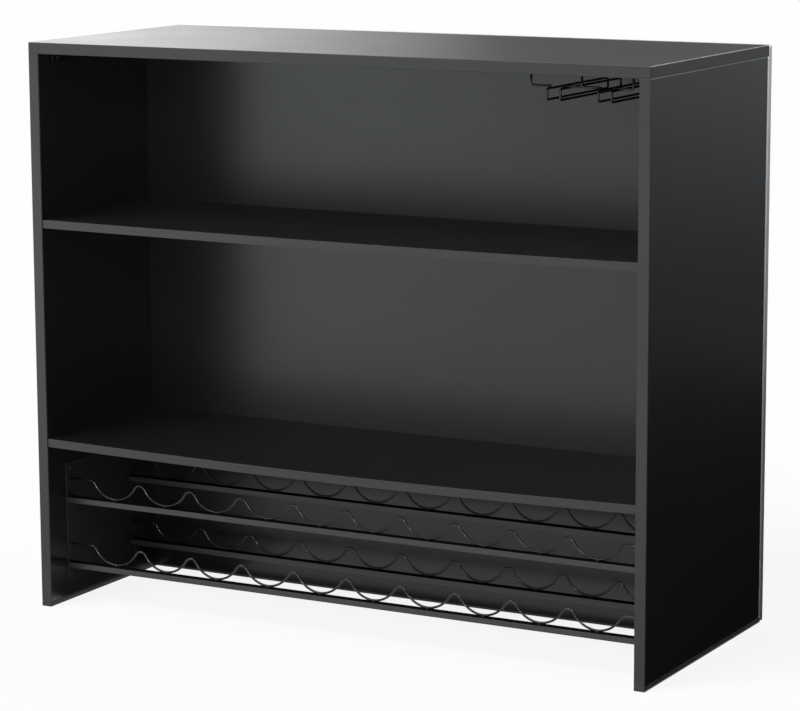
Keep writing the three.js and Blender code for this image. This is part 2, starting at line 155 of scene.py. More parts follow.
def rounded_board(low: Point, high: Point, radius: float, axis: Axis = Axis.X, cuts: int = 1) -> Surface:
    """A board whose edges are all rounded.

    Across the axis the section is a rectangle whose corners are quarter circles of the radius r. At an end
    the section moves outwards by r sin t while its corner circles shrink to r cos t, for t up to 84 degrees.

    Args:
        low: the board's lowest corner.
        high: the board's highest corner.
        radius: the radius of its edges.
        axis: the direction that the section is carried along.
        cuts: how many lengths the straight stretch is divided into.

    Returns:
        The closed surface.
    """
    arc_steps = 4
    end_turn = math.radians(84)
    order = [(axis.value + 1) % 3, (axis.value + 2) % 3, axis.value]
    lows, highs = np.asarray(low, float), np.asarray(high, float)
    half = ((highs - lows) / 2)[order]
    middle = (highs + lows) / 2
    signs = np.array([[1, 1], [-1, 1], [-1, -1], [1, -1]], float)
    corner = np.repeat(signs * (half[:2] - radius), arc_steps + 1, axis=0)
    angle = np.arange(4)[:, None] * math.pi / 2 + np.linspace(0, math.pi / 2, arc_steps + 1)
    spoke = np.stack([np.cos(angle), np.sin(angle)], axis=-1).reshape(-1, 2)
    turn = np.linspace(0, end_turn, arc_steps + 1)
    straight = half[2] - radius
    inner = np.linspace(-straight, straight, cuts + 1)[1:-1]
    along = np.concatenate([-straight - radius * np.sin(turn[::-1]), inner, straight + radius * np.sin(turn)])
    shrink = np.concatenate([np.cos(turn[::-1]), np.ones(len(inner)), np.cos(turn)])
    section = corner[None] + radius * shrink[:, None, None] * spoke[None]
    points = np.empty((len(along), len(corner), 3))
    points[..., order[:2]] = section
    points[..., order[2]] = along[:, None]
    return closed_grid(points + middle)


def wire_tube(path: np.ndarray, radius: float, across: Point, sides: int = 16) -> Surface:
    """A round wire: a circle of the radius carried along a path that lies in one plane.

    At each point of the path the circle is spanned by the plane's normal and by that normal crossed with the
    path's direction.

    Args:
        path: the centre line's points.
        radius: the wire's radius.
        across: the normal of the plane that the path lies in.
        sides: how many points the circle has.

    Returns:
        The closed surface.
    """
    normal = np.asarray(across, float)
    along = np.gradient(path, axis=0)
    along /= np.linalg.norm(along, axis=1, keepdims=True)
    side = np.cross(normal, along)
    angle = np.arange(sides) * 2 * math.pi / sides
    ring = np.cos(angle)[None, :, None] * side[:, None] + np.sin(angle)[None, :, None] * normal
    return closed_grid(path[:, None] + radius * ring)


def bent_path(corners: list[Point], radius: float, steps: int = 8) -> np.ndarray:
    """A line through corners, where each inner corner is a round bend.

    A bend's centre lies on the corner's bisector at r / sin(half angle), and the arc turns through the
    supplement of the corner's angle.

    Args:
        corners: the line's ends with its corners between them.
        radius: the bends' radius.
        steps: the number of steps in a bend.

    Returns:
        The points of the line.
    """
    spots = np.asarray(corners, float)
    pieces = [spots[:1]]
    for before, at, after in zip(spots[:-2], spots[1:-1], spots[2:]):
        inward = (before - at) / np.linalg.norm(before - at)
        outward = (after - at) / np.linalg.norm(after - at)
        half = math.acos(float(np.clip(inward @ outward, -1, 1))) / 2
        bisector = (inward + outward) / np.linalg.norm(inward + outward)
        centre = at + bisector * radius / math.sin(half)
        sweep = np.linspace(half - math.pi / 2, math.pi / 2 - half, steps + 1)[:, None]
        swing = (outward - inward) / np.linalg.norm(outward - inward)
        pieces.append(centre + radius * (np.sin(sweep) * swing - np.cos(sweep) * bisector))
    pieces.append(spots[-1:])
    return np.concatenate(pieces)


@dataclass(frozen=True)
class RecessedHead:
    """A round head with a cross recess. Its defaults are a pan-head screw's, and the bars are in radii."""

    radius: float = 4.0 * MM
    height: float = 2.4 * MM
    dome: float = 0.6
    recess: float = 1.3 * MM
    bar_half: float = 0.13
    bar_reach: float = 0.62
    bar_softness: float = 0.07
    eye: float = 0.02
    segments: int = 48
    rings: int = 16

    def bar(self, wide: np.ndarray, long: np.ndarray) -> np.ndarray:
        """One bar of the cross: 1 within its width and reach, 0 outside, with soft sides.

        Args:
            wide: how far each point lies across the bar, in radii.
            long: how far each point lies along the bar, in radii.

        Returns:
            Each point's share of the recess.
        """
        inside_width = (self.bar_half + self.bar_softness - np.abs(wide)) / self.bar_softness
        inside_reach = (self.bar_reach - np.abs(long)) / self.bar_softness
        return np.clip(inside_width, 0, 1) * np.clip(inside_reach, 0, 1)

    def surface(self, seat: Point, facing: Point) -> Surface:
        """The head in its place.

        The rim rises straight to (1 - dome) times the height, then the face closes on the axis as a quarter
        ellipse. The recess lowers the face where it lies within a cross of two bars.

        Args:
            seat: the middle of the head's underside.
            facing: the direction that the head looks in.

        Returns:
            The closed surface.
        """
        up = np.asarray(facing, float)
        helper = np.eye(3)[Axis.Z.value if abs(up[2]) < 0.5 else Axis.Y.value]
        first = np.cross(helper, up)
        second = np.cross(up, first)
        closing = np.linspace(1, self.eye, self.rings)
        reach = np.concatenate([[1.0], closing])[:, None]
        rise = np.concatenate([[0.0], 1 - self.dome + self.dome * np.sqrt(1 - closing**2)])[:, None]
        angle = np.arange(self.segments)[None] * 2 * math.pi / self.segments
        across, upward = reach * np.cos(angle), reach * np.sin(angle)
        cross = np.maximum(self.bar(across, upward), self.bar(upward, across))
        lowered = rise * self.height - self.recess * cross
        spread = self.radius * (across[..., None] * first + upward[..., None] * second)
        return closed_grid(np.asarray(seat, float) + spread + lowered[..., None] * up)


def weld_bead(centre: Point, half: Point) -> Surface:
    """A weld bead: an ellipsoid as a grid of latitude by longitude.

    Args:
        centre: the bead's middle.
        half: its half lengths along X, Y and Z.

    Returns:
        The closed surface.
    """
    latitude = np.radians(np.linspace(-80, 80, 7))[:, None]
    longitude = np.linspace(0, 2 * math.pi, 12, endpoint=False)[None]
    flat = np.cos(latitude)
    shape = np.stack([flat * np.cos(longitude), flat * np.sin(longitude), np.sin(latitude) + 0 * longitude], -1)
    return closed_grid(np.asarray(centre, float) + shape * np.asarray(half, float))


# Finishes


class ShaderGraph:
    """A material's nodes, with short calls to add and link them."""

    def __init__(self, name: str) -> None:
        """Starts a material with one Principled shader.

        Args:
            name: the material's name.
        """
        self.material = bpy.data.materials.new(name)
        self.material.use_nodes = True
        self.tree = self.material.node_tree
        self.shader = self.tree.nodes["Principled BSDF"]
        self.place = self.tree.nodes.new("ShaderNodeTexCoord").outputs["Object"]

    def node(self, kind: str, inputs: dict[str, object], **settings: object) -> bpy.types.Node:
        """Adds a node.

        Args:
            kind: the node's type.
            inputs: values or sockets by input name.
            settings: the node's own properties.

        Returns:
            The new node.
        """
        made = self.tree.nodes.new(kind)
        for key, value in settings.items():
            setattr(made, key, value)
        for key, value in inputs.items():
            if isinstance(value, bpy.types.NodeSocket):
                self.tree.links.new(value, made.inputs[key])
            else:
                made.inputs[key].default_value = value
        return made

    def stretched(self, scale: Point) -> bpy.types.NodeSocket:
        """Object coordinates times a scale for each axis."""
        return self.node("ShaderNodeMapping", {"Vector": self.place, "Scale": scale}).outputs["Vector"]

    def noise(self, vector: bpy.types.NodeSocket, scale: float, detail: float = 3.0) -> bpy.types.NodeSocket:
        """Cloudy noise from 0 to 1, with a number of blotches to the metre."""
        inputs = {"Vector": vector, "Scale": scale, "Detail": detail}
        return self.node("ShaderNodeTexNoise", inputs).outputs[0]

    def cells(self, scale: float) -> bpy.types.NodeSocket:
        """The distance to the nearest of a scatter of points, with a number of points to the metre."""
        return self.node("ShaderNodeTexVoronoi", {"Vector": self.place, "Scale": scale}).outputs["Distance"]

    def between(self, value: bpy.types.NodeSocket, low: float, high: float) -> bpy.types.NodeSocket:
        """The middle of a noise's range, spread from low to high."""
        start, end = NOISE_MIDDLE
        inputs = {"Value": value, "From Min": start, "From Max": end, "To Min": low, "To Max": high}
        return self.node("ShaderNodeMapRange", inputs).outputs["Result"]

    def tint(self, value: bpy.types.NodeSocket, dark: Colour, pale: Colour) -> bpy.types.NodeSocket:
        """A colour from dark to pale over the middle of a noise's range."""
        ramp = self.node("ShaderNodeValToRGB", {"Fac": value})
        for stop, position, colour in zip(ramp.color_ramp.elements, NOISE_MIDDLE, (dark, pale)):
            stop.position = position
            stop.color = (*colour, 1)
        return ramp.outputs["Color"]

    def relief(self, height: bpy.types.NodeSocket, depth: float, strength: float,
               under: bpy.types.NodeSocket | None = None) -> bpy.types.NodeSocket:
        """A bump of a depth in metres, over another bump if one is given."""
        inputs = {"Height": height, "Distance": depth, "Strength": strength}
        if under is not None:
            inputs["Normal"] = under
        return self.node("ShaderNodeBump", inputs).outputs["Normal"]

    def dress(self, links: dict[str, bpy.types.NodeSocket], values: dict[str, object]) -> bpy.types.Material:
        """Links and sets the shader's sockets.

        Args:
            links: the sockets that vary over the surface.
            values: the sockets that are the same all over it.

        Returns:
            The finished material.
        """
        for key, socket in links.items():
            self.tree.links.new(socket, self.shader.inputs[key])
        for key, value in values.items():
            self.shader.inputs[key].default_value = value
        return self.material

    def show(self, shader: bpy.types.NodeSocket) -> bpy.types.Material:
        """Makes another shader the material's surface.

        Args:
            shader: that shader's output.

        Returns:
            The finished material.
        """
        self.tree.links.new(shader, self.tree.nodes["Material Output"].inputs["Surface"])
        return self.material


@dataclass(frozen=True)
class Laminate:
    """Black melamine on board: a pearl stipple, broad smudges in the gloss and faint dust."""

    name: str = "black_laminate"
    dark: Colour = (0.0048, 0.0048, 0.0050)
    pale: Colour = (0.0072, 0.0072, 0.0075)
    smoothest: float = 0.295
    roughest: float = 0.325
    stipple_per_metre: float = 520.0
    stipple_depth: float = 0.12 * MM
    smudges_per_metre: float = 5.0
    dust_per_metre: float = 60.0
    specular: float = 0.5

    def material(self) -> bpy.types.Material:
        """The finish as a material."""
        graph = ShaderGraph(self.name)
        smudge = graph.noise(graph.place, self.smudges_per_metre, detail=5.0)
        pearl = graph.noise(graph.place, self.stipple_per_metre, detail=2.0)
        dust = graph.noise(graph.place, self.dust_per_metre, detail=6.0)
        links = {
            "Base Color": graph.tint(dust, self.dark, self.pale),
            "Roughness": graph.between(smudge, self.smoothest, self.roughest),
            "Normal": graph.relief(pearl, self.stipple_depth, strength=0.35),
        }
        return graph.dress(links, {"Specular IOR Level": self.specular})


@dataclass(frozen=True)
class EdgeBand:
    """Plastic edge band: drawn streaks along its length and a fine grain."""

    name: str
    along: Axis
    dark: Colour = (0.010, 0.010, 0.0102)
    pale: Colour = (0.016, 0.016, 0.0162)
    smoothest: float = 0.34
    roughest: float = 0.44
    streaks_per_metre: float = 420.0
    streak_depth: float = 0.10 * MM
    stretch: float = 0.02
    grain_per_metre: float = 900.0
    grain_depth: float = 0.08 * MM
    specular: float = 0.45

    def material(self) -> bpy.types.Material:
        """The finish as a material."""
        graph = ShaderGraph(self.name)
        scale = [1.0, 1.0, 1.0]
        scale[self.along.value] = self.stretch
        streak = graph.noise(graph.stretched(tuple(scale)), self.streaks_per_metre, detail=4.0)
        grain = graph.noise(graph.place, self.grain_per_metre, detail=2.0)
        drawn = graph.relief(streak, self.streak_depth, strength=0.3)
        links = {
            "Base Color": graph.tint(streak, self.dark, self.pale),
            "Roughness": graph.between(streak, self.smoothest, self.roughest),
            "Normal": graph.relief(grain, self.grain_depth, strength=0.3, under=drawn),
        }
        return graph.dress(links, {"Specular IOR Level": self.specular})


@dataclass(frozen=True)
class MouldedPlastic:
    """Matt black plastic with a spark-eroded grain and scuffs."""

    name: str = "base_plastic"
    dark: Colour = (0.009, 0.009, 0.0095)
    pale: Colour = (0.016, 0.016, 0.0165)
    smoothest: float = 0.46
    roughest: float = 0.60
    scuffs_per_metre: float = 90.0
    scuff_stretch: Point = (1.0, 0.15, 1.0)
    grain_per_metre: float = 700.0
    grain_depth: float = 0.15 * MM
    specular: float = 0.45

    def material(self) -> bpy.types.Material:
        """The finish as a material."""
        graph = ShaderGraph(self.name)
        scuff = graph.noise(graph.stretched(self.scuff_stretch), self.scuffs_per_metre, detail=6.0)
        links = {
            "Base Color": graph.tint(scuff, self.dark, self.pale),
            "Roughness": graph.between(scuff, self.smoothest, self.roughest),
            "Normal": graph.relief(graph.cells(self.grain_per_metre), self.grain_depth, strength=0.4),
        }
        return graph.dress(links, {"Specular IOR Level": self.specular})


@dataclass(frozen=True)
class SatinSilver:
    """Satin silver trim, brushed along its height."""

    name: str = "satin_silver"
    dark: Colour = (0.70, 0.705, 0.71)
    pale: Colour = (0.84, 0.845, 0.85)
    metallic: float = 1.0
    smoothest: float = 0.30
    roughest: float = 0.44
    lines_per_metre: float = 1500.0
    line_stretch: Point = (1.0, 1.0, 0.01)
    line_depth: float = 0.06 * MM
    clouds_per_metre: float = 25.0

    def material(self) -> bpy.types.Material:
        """The finish as a material."""
        graph = ShaderGraph(self.name)
        brush = graph.noise(graph.stretched(self.line_stretch), self.lines_per_metre)
        cloud = graph.noise(graph.place, self.clouds_per_metre, detail=4.0)
        links = {
            "Base Color": graph.tint(cloud, self.dark, self.pale),
            "Roughness": graph.between(brush, self.smoothest, self.roughest),
            "Normal": graph.relief(brush, self.line_depth, strength=0.4),
        }
        return graph.dress(links, {"Metallic": self.metallic})


@dataclass(frozen=True)
class PowderCoat:
    """Black powder coat on steel: orange peel and a fine sparkle of grain."""

    name: str = "powder_coat"
    dark: Colour = (0.010, 0.010, 0.0104)
    pale: Colour = (0.016, 0.016, 0.0164)
    smoothest: float = 0.42
    roughest: float = 0.54
    peel_per_metre: float = 320.0
    peel_depth: float = 0.2 * MM
    grain_per_metre: float = 1400.0
    grain_depth: float = 0.05 * MM
    dust_per_metre: float = 140.0
    specular: float = 0.3

    def material(self) -> bpy.types.Material:
        """The finish as a material."""
        graph = ShaderGraph(self.name)
        peel = graph.noise(graph.place, self.peel_per_metre, detail=2.0)
        dust = graph.noise(graph.place, self.dust_per_metre, detail=5.0)
        orange_peel = graph.relief(peel, self.peel_depth, strength=0.3)
        sparkle = graph.cells(self.grain_per_metre)
        links = {
            "Base Color": graph.tint(dust, self.dark, self.pale),
            "Roughness": graph.between(peel, self.smoothest, self.roughest),
            "Normal": graph.relief(sparkle, self.grain_depth, strength=0.35, under=orange_peel),
        }
        return graph.dress(links, {"Specular IOR Level": self.specular})


@dataclass(frozen=True)
class RailCoat:
    """Black powder coat on the rails: satin on the faces, matt on top, and a painted shade colour on top."""

    name: str = "rail_coat"
    face: Colour = (0.024, 0.024, 0.0246)
    # painted shade: the darker colour given to faces that look upward
    top: Colour = (0.004, 0.004, 0.004)
    face_roughness: float = 0.40
    top_roughness: float = 0.90
    face_specular: float = 0.45
    top_specular: float = 0.02
    top_shade_from: float = 0.4
    top_shade_at: float = 0.9
    peel_per_metre: float = 320.0
    peel_depth: float = 0.2 * MM

    def material(self) -> bpy.types.Material:
        """The finish as a material, in which upward faces get a matt coat and a painted shade colour."""
        graph = ShaderGraph(self.name)
        peel = graph.noise(graph.place, self.peel_per_metre, detail=2.0)
        facing = graph.node("ShaderNodeNewGeometry", {})
        upward = graph.node("ShaderNodeSeparateXYZ", {"Vector": facing.outputs["Normal"]}).outputs["Z"]
        inputs = {"Value": upward, "From Min": self.top_shade_from, "From Max": self.top_shade_at}
        top_shade = graph.node("ShaderNodeMapRange", inputs).outputs["Result"]
        links = {
            # Upward faces get the painted shade colour, with higher roughness and lower specular for a matt
            # coat.
            "Base Color": graph.tint(top_shade, self.face, self.top),
            "Roughness": graph.between(top_shade, self.face_roughness, self.top_roughness),
            "Specular IOR Level": graph.between(top_shade, self.face_specular, self.top_specular),
            "Normal": graph.relief(peel, self.peel_depth, strength=0.2),
        }
        return graph.dress(links, {})


@dataclass(frozen=True)
class WireLacquer:
    """Half-gloss black lacquer on wire, with soft runs along it."""

    name: str = "wire_lacquer"
    dark: Colour = (0.006, 0.006, 0.006)
    pale: Colour = (0.010, 0.010, 0.0102)
    smoothest: float = 0.30
    roughest: float = 0.40
    runs_per_metre: float = 110.0
    peel_per_metre: float = 600.0
    peel_depth: float = 0.03 * MM
    specular: float = 0.22
    coat: float = 0.34
    coat_roughness: float = 0.11

    def material(self) -> bpy.types.Material:
        """The finish as a material."""
        graph = ShaderGraph(self.name)
        runs = graph.noise(graph.place, self.runs_per_metre)
        peel = graph.noise(graph.place, self.peel_per_metre, detail=2.0)
        links = {
            "Base Color": graph.tint(runs, self.dark, self.pale),
            "Roughness": graph.between(runs, self.smoothest, self.roughest),
            "Normal": graph.relief(peel, self.peel_depth, strength=0.25),
        }
        values = {
            "Specular IOR Level": self.specular,
            "Coat Weight": self.coat,
            "Coat Roughness": self.coat_roughness,
        }
        return graph.dress(links, values)


@dataclass(frozen=True)
class ZincPlate:
    """Zinc plate with pale crystals and a dull bloom."""

    name: str = "zinc_plate"
    dark: Colour = (0.36, 0.37, 0.38)
    pale: Colour = (0.58, 0.59, 0.60)
    smoothest: float = 0.26
    roughest: float = 0.46
    crystals_per_metre: float = 260.0
    blooms_per_metre: float = 180.0
    bloom_depth: float = 0.08 * MM

    def material(self) -> bpy.types.Material:
        """The finish as a material."""
        graph = ShaderGraph(self.name)
        crystal = graph.cells(self.crystals_per_metre)
        bloom = graph.noise(graph.place, self.blooms_per_metre, detail=4.0)
        links = {
            "Base Color": graph.tint(crystal, self.dark, self.pale),
            "Roughness": graph.between(bloom, self.smoothest, self.roughest),
            "Normal": graph.relief(bloom, self.bloom_depth, strength=0.3),
        }
        return graph.dress(links, {"Metallic": 1.0})


class FinishSet:
    """All the counter's finishes, each made into a material once."""

    def __init__(self) -> None:
        """Makes the materials."""
        self.board = Laminate().material()
        self.band = {axis: EdgeBand(f"edge_band_{axis.name.lower()}", axis).material() for axis in Axis}
        self.base = MouldedPlastic().material()
        self.silver = SatinSilver().material()
        # Spacer silver: a paler copy of the trim's, partly diffuse; the extra paleness is painted highlight.
        bright = SatinSilver("spacer_silver", dark=(0.90, 0.905, 0.91), pale=(0.99, 0.99, 0.99), metallic=0.9)
        self.spacer = bright.material()
        self.steel = PowderCoat().material()
        self.rail = RailCoat().material()
        self.wire = WireLacquer().material()
        self.zinc = ZincPlate().material()
        black = ZincPlate("black_zinc_plate", dark=(0.030, 0.030, 0.031), pale=(0.060, 0.060, 0.062))
        self.black_zinc = black.material()


def add_piece(surface: Surface, nodes: list[str], material: bpy.types.Material,
              flat_faces: bool = True) -> bpy.types.Object:
    """Makes a surface one of the counter's pieces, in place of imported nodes.

    Args:
        surface: the piece's surface.
        nodes: the nodes that it stands for; the first one gives its name.
        material: its finish.
        flat_faces: whether wide faces keep their own direction beside rounded edges.

    Returns:
        The piece's object.
    """
    piece = surface.to_object(f"{nodes[0]}_finished")
    piece.data.materials.append(material)
    if flat_faces:
        piece.modifiers.new("even_faces", "WEIGHTED_NORMAL").weight = 100
    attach(piece, BODY)
    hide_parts(*nodes)
    LOG.info("%s: %d faces", piece.name, len(piece.data.polygons))
    return piece


def box_of(node: str) -> tuple[np.ndarray, np.ndarray]:
    """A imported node's lowest and highest corners."""
    low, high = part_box(node)
    return np.array(low), np.array(high)


# Sub-assemblies


@dataclass
class Carcass:
    """The worktop, sides, back panel and guests' side panel, with their bands and strips."""

    finishes: FinishSet
    board_edge: float = 0.5 * MM
    band_edge: float = 0.95 * MM
    strip_edge: float = 0.8 * MM
    trim_edge: float = 0.5 * MM

    def board(self, node: str, axis: Axis) -> None:
        """One board in laminate, carried along an axis."""
        add_piece(rounded_board(*box_of(node), self.board_edge, axis), [node], self.finishes.board)

    def worktop(self) -> None:
        """The worktop, with a band along its front and a band on either end."""
        self.board("worktop", Axis.X)
        low, high = box_of("worktop_edge_band")
        inner_low, inner_high = box_of("worktop")
        front_high = np.array([high[0], inner_low[1], high[2]])
        left_low = np.array([low[0], inner_low[1], low[2]])
        left_high = np.array([inner_low[0], high[1], high[2]])
        right_low = np.array([inner_high[0], inner_low[1], low[2]])
        strips = [
            rounded_board(low, front_high, self.band_edge, Axis.X),
            rounded_board(left_low, left_high, self.band_edge, Axis.Y),
            rounded_board(right_low, high, self.band_edge, Axis.Y),
        ]
        add_piece(Surface.joined(strips), ["worktop_edge_band"], self.finishes.band[Axis.X])

    def sides(self) -> None:
        """Both side panels, each with its front band, base strip and rear spacer."""
        finishes = self.finishes
        for hand in HANDS:
            self.board(f"side_panel_{hand}", Axis.Z)
            band = rounded_board(*box_of(f"side_edge_band_{hand}"), self.band_edge, Axis.Z)
            add_piece(band, [f"side_edge_band_{hand}"], finishes.band[Axis.Z])
            base = rounded_board(*box_of(f"base_strip_{hand}"), self.strip_edge, Axis.Y)
            add_piece(base, [f"base_strip_{hand}"], finishes.base)
            spacer = rounded_board(*box_of(f"spacer_strip_{hand}"), self.trim_edge, Axis.Z)
            add_piece(spacer, [f"spacer_strip_{hand}"], finishes.spacer)

    def panels(self) -> None:
        """The back panel, and the guests' side panel with the bright band round its ends and top."""
        self.board("back_panel", Axis.X)
        self.board("bar_front_panel", Axis.X)
        low, high = box_of("bar_front_edge_band")
        inner_low, inner_high = box_of("bar_front_panel")
        top_low = np.array([low[0], low[1], inner_high[2]])
        left_high = np.array([inner_low[0], high[1], inner_high[2]])
        right_low = np.array([inner_high[0], low[1], low[2]])
        right_high = np.array([high[0], high[1], inner_high[2]])
        strips = [
            rounded_board(top_low, high, self.trim_edge, Axis.X),
            rounded_board(low, left_high, self.trim_edge, Axis.Z),
            rounded_board(right_low, right_high, self.trim_edge, Axis.Z),
        ]
        add_piece(Surface.joined(strips), ["bar_front_edge_band"], self.finishes.silver)

    def build(self) -> None:
        """Builds the whole carcass."""
        self.worktop()
        self.sides()
        self.panels()


@dataclass
class Shelves:
    """Both shelves, which sag a little between the sides, with their bands and cams."""

    finishes: FinishSet
    sag: dict[str, float] = field(default_factory=lambda: {"upper": 2.0 * MM, "lower": 7.0 * MM})
    board_edge: float = 0.3 * MM
    band_edge: float = 0.35 * MM
    cuts: int = 48
    cam_proud: float = 0.4 * MM
    cam_dome: float = 0.04
    cam_recess: float = 1.5 * MM

    def sagged(self, surface: Surface, level: str) -> Surface:
        """A surface lowered as a loaded board sags between two ends and against a back panel.

        At s half spans from the middle the drop is the sag times 1 - 1.2 s^2 + 0.2 s^4, and it falls off
        in a straight line from the front edge to nothing at the back.

        Args:
            surface: the straight surface.
            level: which shelf it belongs to.

        Returns:
            The same surface, bent.
        """
        low, high = box_of(f"shelf_{level}")
        s = (2 * surface.points[:, 0] - low[0] - high[0]) / (high[0] - low[0])
        forward = (high[1] - surface.points[:, 1]) / (high[1] - low[1])
        surface.points[:, 2] -= self.sag[level] * (1 - 1.2 * s**2 + 0.2 * s**4) * forward
        return surface

    def build(self) -> None:
        """Builds both shelves."""
        for level in TIERS:
            board = rounded_board(*box_of(f"shelf_{level}"), self.board_edge, Axis.X, self.cuts)
            add_piece(self.sagged(board, level), [f"shelf_{level}"], self.finishes.board)
            strip = rounded_board(*box_of(f"shelf_edge_band_{level}"), self.band_edge, Axis.X, self.cuts)
            band = self.sagged(strip, level)
            add_piece(band, [f"shelf_edge_band_{level}"], self.finishes.band[Axis.X])
            for hand in HANDS:
                self.cam(f"cam_{level}_{hand}", level)
                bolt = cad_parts[f"cam_bolt_{level}_{hand}"]
                bolt.data.materials.clear()
                bolt.data.materials.append(self.finishes.zinc)

    def cam(self, node: str, level: str) -> None:
        """The face of one cam, a little proud of the shelf's underside."""
        low, high = box_of(node)
        middle = (low + high) / 2
        radius = (high[0] - low[0]) / 2
        height = high[2] - low[2] + self.cam_proud
        head = RecessedHead(radius, height, self.cam_dome, self.cam_recess)
        face = head.surface((middle[0], middle[1], high[2]), (0, 0, -1))
        add_piece(self.sagged(face, level), [node], self.finishes.zinc)


@dataclass
class CradleRack:
    """End plates with screws, box rails and wave wires welded to them."""

    finishes: FinishSet
    plate_edge: float = 0.6 * MM
    rail_edge: float = 0.8 * MM
    wave_from_front: float = 13.0 * MM
    wire_radius: float = 2.0 * MM
    troughs: int = 10
    wave_height: float = 31.0 * MM
    peak_radius: float = 12.0 * MM
    points_per_bend: int = 25
    end_run: float = 43.0 * MM
    screw_head: RecessedHead = RecessedHead()
    screws_per_plate: int = 4
    bead_half: Point = (3.4 * MM, 2.6 * MM, 1.3 * MM)

    def wave_path(self, y: float, rail_top: float, reach: float) -> np.ndarray:
        """One wave wire's centre line, which rests on the rail and ends level at the plates.

        Round troughs and peaks are arcs that turn through the same slope either way and meet there, so the
        half pitch is (R + r) sin(slope) and the wave's height is (R + r)(1 - cos(slope)).

        Args:
            y: the wire's place along Y.
            rail_top: the height of the rail's top face.
            reach: how far the wire runs either way from the middle.

        Returns:
            The points of the centre line.
        """
        pitch = 2 * (reach - self.end_run) / self.troughs
        slope = 2 * math.atan(self.wave_height / (pitch / 2))
        trough_radius = pitch / 2 / math.sin(slope) - self.peak_radius
        low = rail_top + self.wire_radius
        high = low + self.wave_height
        turn = np.linspace(-slope, slope, self.points_per_bend)
        peak_x = pitch * (np.arange(self.troughs + 1) - self.troughs / 2)
        peaks = np.stack([
            peak_x[:, None] + self.peak_radius * np.sin(turn),
            np.broadcast_to(high - self.peak_radius * (1 - np.cos(turn)), (self.troughs + 1, len(turn))),
        ], axis=-1)
        hollows = np.stack([
            peak_x[:-1, None] + pitch / 2 + trough_radius * np.sin(turn),
            np.broadcast_to(low + trough_radius * (1 - np.cos(turn)), (self.troughs, len(turn))),
        ], axis=-1)
        pairs = np.concatenate([peaks[:-1, :-1], hollows[:, :-1]], axis=1).reshape(-1, 2)
        half = len(turn) // 2
        ends = np.array([[-reach, high]]), np.array([[reach, high]])
        line = np.concatenate([ends[0], pairs[half:], peaks[-1, :half + 1], ends[1]])
        return np.stack([line[:, 0], np.full(len(line), y), line[:, 1]], axis=-1)

    def build(self) -> None:
        """Builds the whole rack."""
        finishes = self.finishes
        reach = float(box_of("rack_plate_right")[0][0])
        for hand, sign in HANDS.items():
            plate = rounded_board(*box_of(f"rack_plate_{hand}"), self.plate_edge, Axis.Z)
            add_piece(plate, [f"rack_plate_{hand}"], finishes.steel)
            for number in range(1, self.screws_per_plate + 1):
                node = f"rack_screw_{hand}_{number}"
                low, high = box_of(node)
                seat = (sign * reach, (low[1] + high[1]) / 2, (low[2] + high[2]) / 2)
                head = self.screw_head.surface(seat, (-sign, 0, 0))
                add_piece(head, [node], finishes.steel, False)
        for tier in TIERS:
            for row in ROWS:
                self.tier_row(tier, row, reach)

    def tier_row(self, tier: str, row: str, reach: float) -> None:
        """One rail with the wave wire that is welded to it.

        Args:
            tier: the upper or the lower tier.
            row: the front or the rear row.
            reach: the plates' inner faces, from the middle.
        """
        low, high = box_of(f"rack_rail_{tier}_{row}")
        rail = rounded_board(low, high, self.rail_edge, Axis.X)
        add_piece(rail, [f"rack_rail_{tier}_{row}"], self.finishes.rail)
        y = float(low[1]) + self.wave_from_front
        path = self.wave_path(y, float(high[2]), reach)
        pitch = 2 * (reach - self.end_run) / self.troughs
        hollow_x = pitch * (np.arange(self.troughs) + 0.5 - self.troughs / 2)
        beads = [weld_bead((x, y, float(high[2])), self.bead_half) for x in hollow_x]
        wire = Surface.joined([wire_tube(path, self.wire_radius, (0, 1, 0))] + beads)
        add_piece(wire, [f"wave_wire_{tier}_{row}"], self.finishes.wire, False)


